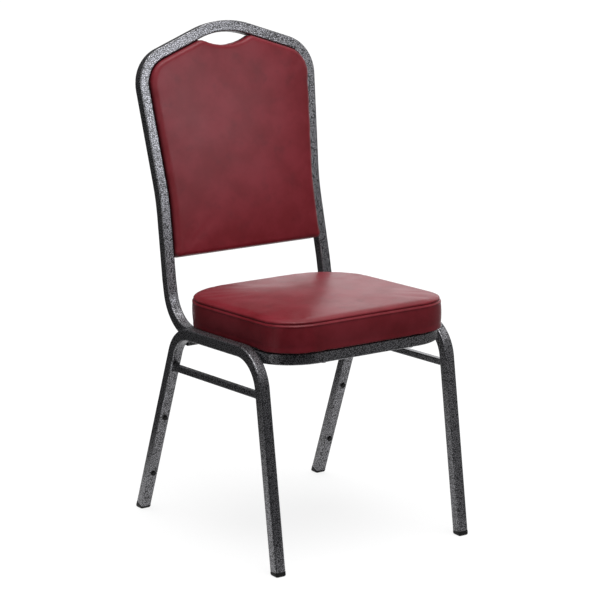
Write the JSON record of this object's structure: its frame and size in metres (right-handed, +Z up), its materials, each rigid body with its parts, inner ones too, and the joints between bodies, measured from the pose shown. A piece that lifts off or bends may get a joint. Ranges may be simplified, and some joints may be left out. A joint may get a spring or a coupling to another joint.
{
  "type": "stacking banquet chair",
  "caption": "Stacking banquet chair with a welded square tube frame, a crowned back hoop with a hand-hold, a padded vinyl seat and a padded vinyl back panel.",
  "frame": {"origin": "on the floor under the middle of the chair's bounding box", "axes": "+Z up, -Y towards the front of the seat, +X to the right of a viewer who faces the front"},
  "size_m": [0.4486, 0.5486, 0.9651],
  "materials": {
    "frame_tube": "silver vein powder coat, black with fine silver mottling, semi-gloss",
    "glide": "moulded, matte",
    "bumper": "moulded, matte",
    "vinyl": "burgundy vinyl, soft sheen with light mottling",
    "foam": "open cell foam",
    "plywood": "raw",
    "dust_cloth": "spun cloth",
    "spacer": "moulded, matte",
    "fixing": "zinc plated"
  },
  "bodies": {
    "root": {"left_leg_frame": "frame_tube", "right_leg_frame": "frame_tube", "back_hoop": "frame_tube", "front_seat_rail": "frame_tube", "rear_cross_rail": "frame_tube", "left_side_stretcher": "frame_tube", "right_side_stretcher": "frame_tube", "frame_welds": "frame_tube", "back_tabs": "frame_tube", "left_front_glide": "glide", "right_front_glide": "glide", "left_rear_glide": "glide", "right_rear_glide": "glide", "left_low_bumper": "bumper", "left_high_bumper": "bumper", "right_low_bumper": "bumper", "right_high_bumper": "bumper", "seat_cover": "vinyl", "back_cover": "vinyl", "back_rear_cover": "vinyl", "seat_foam": "foam", "back_foam": "foam", "seat_board": "plywood", "back_board": "plywood", "seat_dust_cover": "dust_cloth", "seat_spacers": "spacer", "seat_bolts": "fixing", "seat_tee_nuts": "fixing", "back_screws": "fixing"}
  },
  "joints": []
}
